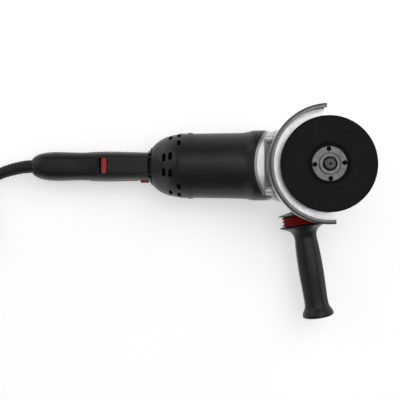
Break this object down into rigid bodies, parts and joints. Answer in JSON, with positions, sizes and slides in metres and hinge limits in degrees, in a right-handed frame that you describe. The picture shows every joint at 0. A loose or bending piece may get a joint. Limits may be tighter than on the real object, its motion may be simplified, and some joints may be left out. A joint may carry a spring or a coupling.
{
  "type": "angle grinder",
  "caption": "Corded angle grinder with a long slim handle, half-round wheel guard, depressed-centre grinding wheel, side handle, trigger with lock-off lever and a coiled power cord.",
  "frame": {"origin": "where the spindle axis meets the flat face of the gear head that lies on the bench", "axes": "+Z out along the spindle towards the wheel, +X from the rear handle towards the gear head, y = 0 the middle plane"},
  "size_m": [0.6244, 0.2632, 0.1042],
  "materials": {
    "cast_alloy": "fine cast and shot-blasted, silver",
    "dark_plastic": "fine-textured black-grey nylon",
    "inner_plastic": "plain moulded",
    "soft_rubber": "matt soft-touch",
    "red_plastic": "satin red",
    "red_rubber": "matt red elastomer",
    "bright_steel": "turned and zinc plated",
    "gear_steel": "hardened, ground",
    "guard_steel": "pressed sheet, light grey satin",
    "abrasive": "coarse bonded grain, matt near-black",
    "core_steel": "stacked sheet",
    "copper": "enamelled copper",
    "carbon": "pressed carbon",
    "cord_rubber": "matt black rubber",
    "plated_pins": "nickel-plated brass"
  },
  "bodies": {
    "tool_body": {"gear_housing": "cast_alloy", "bearing_cover": "cast_alloy", "cover_screws": "bright_steel", "gear_case_screws": "bright_steel", "bearing_outers": "bright_steel", "needle_bush": "bright_steel", "felt_seal": "soft_rubber", "motor_housing": "dark_plastic", "stator_core": "core_steel", "field_coils": "copper", "air_baffle": "inner_plastic", "bearing_plate": "cast_alloy", "brush_holders": "inner_plastic", "carbon_brushes": "carbon", "brush_springs": "bright_steel", "joint_ring": "dark_plastic", "rear_cover": "dark_plastic", "handle_shell_left": "dark_plastic", "handle_shell_right": "dark_plastic", "soft_grip": "soft_rubber", "red_trim": "red_plastic", "handle_screws": "bright_steel", "trigger_pin": "bright_steel", "switch_module": "inner_plastic", "electronics_module": "inner_plastic", "cord_lead": "cord_rubber", "cord_coil": "cord_rubber", "cord_tie": "cord_rubber", "cord_sleeve": "cord_rubber", "cord_clamp": "inner_plastic", "plug_body": "cord_rubber", "plug_pins": "plated_pins", "side_handle_bolt": "bright_steel", "side_handle_mount": "dark_plastic", "side_handle_damper": "red_rubber", "side_handle_grip": "dark_plastic", "spindle_lock_spring": "bright_steel"},
    "spindle_body": {"spindle": "gear_steel", "spindle_bearing_inner": "bright_steel", "crown_gear": "gear_steel", "retaining_ring": "bright_steel", "inner_flange": "bright_steel", "grinding_disc": "abrasive", "clamp_nut": "bright_steel"},
    "rotor": {"armature_shaft": "bright_steel", "armature_core": "core_steel", "armature_windings": "copper", "commutator": "copper", "fan": "inner_plastic", "pinion_gear": "gear_steel", "pinion_nut": "bright_steel", "rotor_bearing_inners": "bright_steel"},
    "guard": {"guard_shell": "guard_steel", "guard_clamp_band": "guard_steel", "guard_clamp_screw": "bright_steel"},
    "guard_lever": {"guard_clamp_lever": "guard_steel"},
    "trigger": {"trigger_paddle": "dark_plastic"},
    "lock_off": {"lock_off_lever": "red_plastic"},
    "lock_on": {"lock_on_button": "red_plastic"},
    "spindle_lock": {"spindle_lock_button": "gear_steel"}
  },
  "joints": [
    {"name": "spindle_spin", "type": "hinge", "parent": "tool_body", "child": "spindle_body", "pos_m": [0, 0, 0], "axis": [0, 0, 1], "continuous": true},
    {"name": "rotor_spin", "type": "hinge", "parent": "tool_body", "child": "rotor", "pos_m": [0, 0, 0.044], "axis": [1, 0, 0], "continuous": true},
    {"name": "guard_turn", "type": "hinge", "parent": "tool_body", "child": "guard", "pos_m": [0, 0, 0.075], "axis": [0, 0, 1], "range_deg": [-90, 90]},
    {"name": "guard_lever_swing", "type": "hinge", "parent": "guard", "child": "guard_lever", "pos_m": [0.0289, 0.0079, 0.0766], "axis": [0, 0, -1], "range_deg": [0, 95]},
    {"name": "trigger_press", "type": "hinge", "parent": "tool_body", "child": "trigger", "pos_m": [-0.2208, 0, 0.04], "axis": [0, -1, 0], "range_deg": [0, 6], "stiffness_Nm_per_rad": 3, "springref_deg": -6.88},
    {"name": "lock_off_tilt", "type": "hinge", "parent": "trigger", "child": "lock_off", "pos_m": [-0.2664, 0, 0.0462], "axis": [0, -1, 0], "range_deg": [0, 12], "stiffness_Nm_per_rad": 0.12, "springref_deg": -17.19},
    {"name": "lock_on_press", "type": "slide", "parent": "tool_body", "child": "lock_on", "axis": [0, 1, 0], "range_m": [0, 0.0025], "stiffness_N_per_m": 700, "springref_m": -0.002},
    {"name": "spindle_lock_press", "type": "slide", "parent": "tool_body", "child": "spindle_lock", "axis": [0, 0, 1], "range_m": [0, 0.0035], "stiffness_N_per_m": 1500, "springref_m": -0.002, "deforming": ["spindle_lock_spring"]}
  ],
  "couplings": [
    {"joint": "rotor_spin", "follows": "spindle_spin", "ratio": 3.7}
  ]
}
